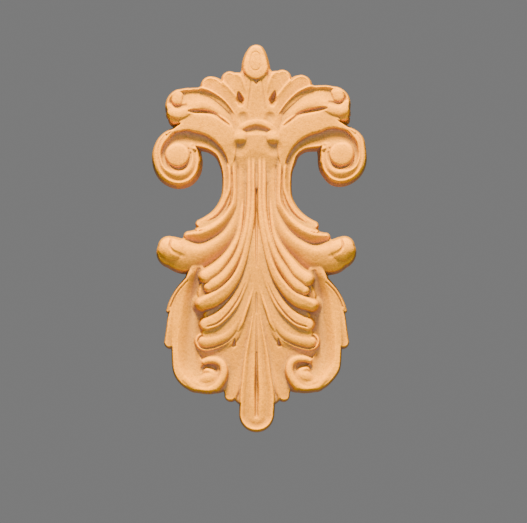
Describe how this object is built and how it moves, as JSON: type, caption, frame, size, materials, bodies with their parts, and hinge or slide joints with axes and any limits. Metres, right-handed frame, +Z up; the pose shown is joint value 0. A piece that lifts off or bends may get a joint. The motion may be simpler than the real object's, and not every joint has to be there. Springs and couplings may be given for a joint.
{
  "type": "carved acanthus applique",
  "caption": "Flat-backed wood ornament in the outline of a corbel: plume top, paired C-scroll volutes, fluted stem and overlapping acanthus leaves, fixed to a wall or furniture face.",
  "frame": {"origin": "on the flat back, on the axis of the panel at half its height", "axes": "+Z up along the panel from tongue to finial, -Y out of the carved face, +Y into the wall, +X to the viewer's right"},
  "size_m": [0.1079, 0.0159, 0.1947],
  "materials": {
    "carved_wood": "unfinished pale composition wood, matt, fine grained"
  },
  "bodies": {
    "root": {"acanthus_applique": "carved_wood"}
  },
  "joints": []
}
